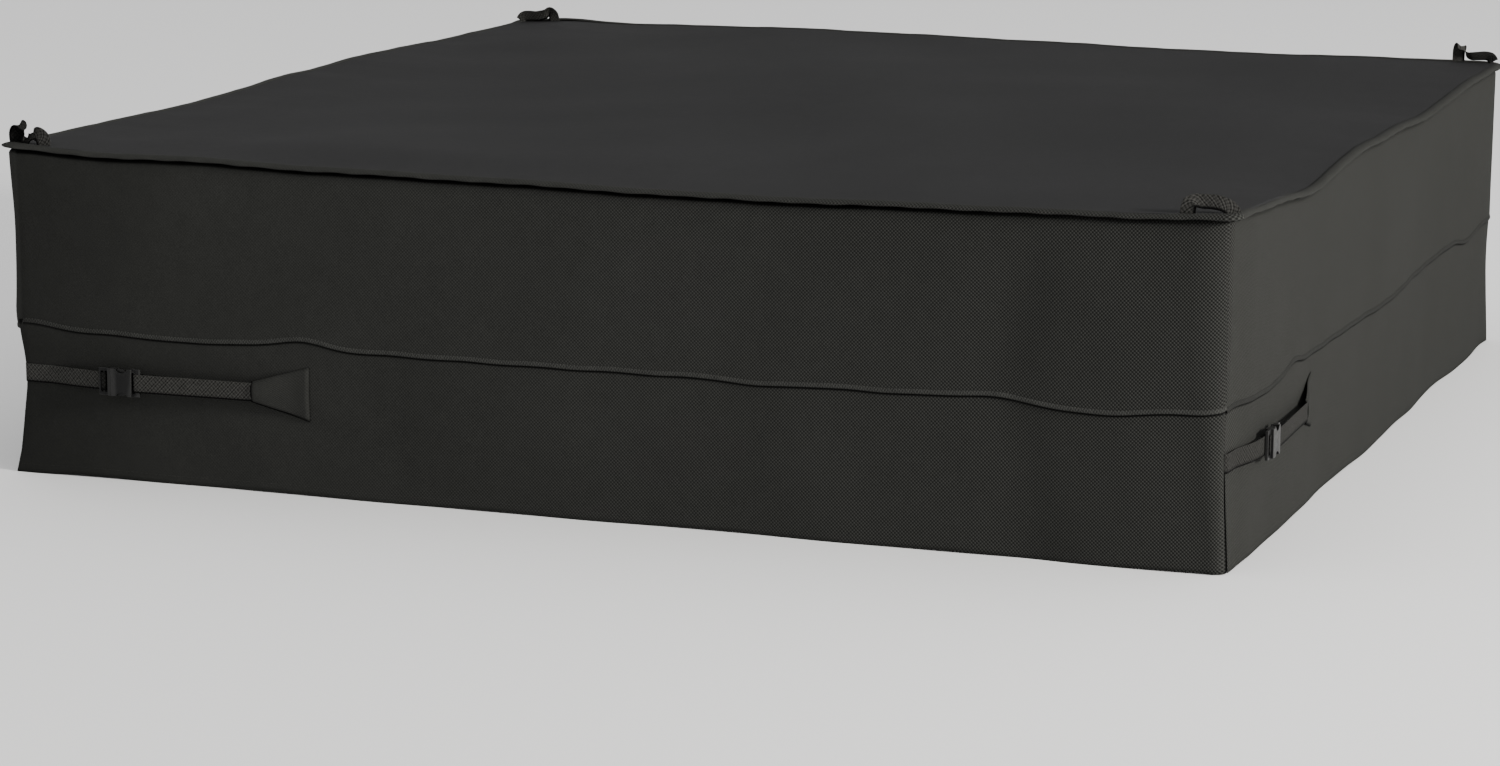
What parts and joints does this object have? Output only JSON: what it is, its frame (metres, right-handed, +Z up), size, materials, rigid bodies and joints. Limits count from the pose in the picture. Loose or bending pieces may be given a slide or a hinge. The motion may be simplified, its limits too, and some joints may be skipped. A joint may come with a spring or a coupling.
{
  "type": "spa cover",
  "caption": "Square drape cover of dark woven cloth for a spa, with two-tier skirts, corner slits, cinch straps with side-release buckles and webbing corner handles.",
  "frame": {"origin": "centre of the cover at the level of its hem", "axes": "+Z up; the front side faces -Y; X runs along the front's top edge"},
  "size_m": [2.206, 2.206, 0.5892],
  "materials": {
    "cloth": "matt woven, coated on the inside",
    "webbing": "ribbed woven webbing",
    "plastic": "satin moulded"
  },
  "bodies": {
    "cover": {"top_panel": "cloth", "top_welt": "cloth", "upper_skirt_front": "cloth", "lower_skirt_front": "cloth", "lap_seam_front": "cloth", "strap_patch_front": "cloth", "corner_strap_front": "webbing", "patch_strap_front": "webbing", "buckle_socket_front": "plastic", "upper_skirt_right": "cloth", "lower_skirt_right": "cloth", "lap_seam_right": "cloth", "strap_patch_right": "cloth", "corner_strap_right": "webbing", "patch_strap_right": "webbing", "buckle_socket_right": "plastic", "upper_skirt_back": "cloth", "lower_skirt_back": "cloth", "lap_seam_back": "cloth", "strap_patch_back": "cloth", "corner_strap_back": "webbing", "patch_strap_back": "webbing", "buckle_socket_back": "plastic", "upper_skirt_left": "cloth", "lower_skirt_left": "cloth", "lap_seam_left": "cloth", "strap_patch_left": "cloth", "corner_strap_left": "webbing", "patch_strap_left": "webbing", "buckle_socket_left": "plastic"},
    "insert_front": {"buckle_insert_front": "plastic"},
    "arm_upper_front": {"buckle_arm_upper_front": "plastic"},
    "arm_lower_front": {"buckle_arm_lower_front": "plastic"},
    "insert_right": {"buckle_insert_right": "plastic"},
    "arm_upper_right": {"buckle_arm_upper_right": "plastic"},
    "arm_lower_right": {"buckle_arm_lower_right": "plastic"},
    "insert_back": {"buckle_insert_back": "plastic"},
    "arm_upper_back": {"buckle_arm_upper_back": "plastic"},
    "arm_lower_back": {"buckle_arm_lower_back": "plastic"},
    "insert_left": {"buckle_insert_left": "plastic"},
    "arm_upper_left": {"buckle_arm_upper_left": "plastic"},
    "arm_lower_left": {"buckle_arm_lower_left": "plastic"},
    "handle_front_left": {"handle_front_left": "webbing"},
    "handle_front_right": {"handle_front_right": "webbing"},
    "handle_back_right": {"handle_back_right": "webbing"},
    "handle_back_left": {"handle_back_left": "webbing"}
  },
  "joints": [
    {"name": "buckle_release_front", "type": "slide", "parent": "cover", "child": "insert_front", "axis": [-1, 0, 0], "range_m": [0, 0.045], "deforming": ["corner_strap_front", "buckle_arm_upper_front", "buckle_arm_lower_front"]},
    {"name": "arm_squeeze_upper_front", "type": "hinge", "parent": "insert_front", "child": "arm_upper_front", "pos_m": [-0.883, -1.096, 0.192], "axis": [0, 1, 0], "range_deg": [0, 10], "stiffness_Nm_per_rad": 0.3},
    {"name": "arm_squeeze_lower_front", "type": "hinge", "parent": "insert_front", "child": "arm_lower_front", "pos_m": [-0.883, -1.096, 0.16], "axis": [0, -1, 0], "range_deg": [0, 10], "stiffness_Nm_per_rad": 0.3},
    {"name": "buckle_release_right", "type": "slide", "parent": "cover", "child": "insert_right", "axis": [0, -1, 0], "range_m": [0, 0.045], "deforming": ["corner_strap_right", "buckle_arm_upper_right", "buckle_arm_lower_right"]},
    {"name": "arm_squeeze_upper_right", "type": "hinge", "parent": "insert_right", "child": "arm_upper_right", "pos_m": [1.096, -0.883, 0.192], "axis": [-1, 0, 0], "range_deg": [0, 10], "stiffness_Nm_per_rad": 0.3},
    {"name": "arm_squeeze_lower_right", "type": "hinge", "parent": "insert_right", "child": "arm_lower_right", "pos_m": [1.096, -0.883, 0.16], "axis": [1, 0, 0], "range_deg": [0, 10], "stiffness_Nm_per_rad": 0.3},
    {"name": "buckle_release_back", "type": "slide", "parent": "cover", "child": "insert_back", "axis": [1, 0, 0], "range_m": [0, 0.045], "deforming": ["corner_strap_back", "buckle_arm_upper_back", "buckle_arm_lower_back"]},
    {"name": "arm_squeeze_upper_back", "type": "hinge", "parent": "insert_back", "child": "arm_upper_back", "pos_m": [0.883, 1.096, 0.192], "axis": [0, -1, 0], "range_deg": [0, 10], "stiffness_Nm_per_rad": 0.3},
    {"name": "arm_squeeze_lower_back", "type": "hinge", "parent": "insert_back", "child": "arm_lower_back", "pos_m": [0.883, 1.096, 0.16], "axis": [0, 1, 0], "range_deg": [0, 10], "stiffness_Nm_per_rad": 0.3},
    {"name": "buckle_release_left", "type": "slide", "parent": "cover", "child": "insert_left", "axis": [0, 1, 0], "range_m": [0, 0.045], "deforming": ["corner_strap_left", "buckle_arm_upper_left", "buckle_arm_lower_left"]},
    {"name": "arm_squeeze_upper_left", "type": "hinge", "parent": "insert_left", "child": "arm_upper_left", "pos_m": [-1.096, 0.883, 0.192], "axis": [1, 0, 0], "range_deg": [0, 10], "stiffness_Nm_per_rad": 0.3},
    {"name": "arm_squeeze_lower_left", "type": "hinge", "parent": "insert_left", "child": "arm_lower_left", "pos_m": [-1.096, 0.883, 0.16], "axis": [-1, 0, 0], "range_deg": [0, 10], "stiffness_Nm_per_rad": 0.3},
    {"name": "handle_lift_front_left", "type": "hinge", "parent": "cover", "child": "handle_front_left", "pos_m": [-1.02, -1.077, 0.5653], "axis": [1, 0, 0], "range_deg": [0, 88]},
    {"name": "handle_lift_front_right", "type": "hinge", "parent": "cover", "child": "handle_front_right", "pos_m": [1.02, -1.077, 0.5653], "axis": [1, 0, 0], "range_deg": [0, 88]},
    {"name": "handle_lift_back_right", "type": "hinge", "parent": "cover", "child": "handle_back_right", "pos_m": [1.02, 1.077, 0.5653], "axis": [-1, 0, 0], "range_deg": [0, 88]},
    {"name": "handle_lift_back_left", "type": "hinge", "parent": "cover", "child": "handle_back_left", "pos_m": [-1.02, 1.077, 0.5653], "axis": [-1, 0, 0], "range_deg": [0, 88]}
  ],
  "couplings": [
    {"joint": "arm_squeeze_lower_front", "follows": "arm_squeeze_upper_front", "ratio": 1},
    {"joint": "arm_squeeze_lower_right", "follows": "arm_squeeze_upper_right", "ratio": 1},
    {"joint": "arm_squeeze_lower_back", "follows": "arm_squeeze_upper_back", "ratio": 1},
    {"joint": "arm_squeeze_lower_left", "follows": "arm_squeeze_upper_left", "ratio": 1}
  ]
}
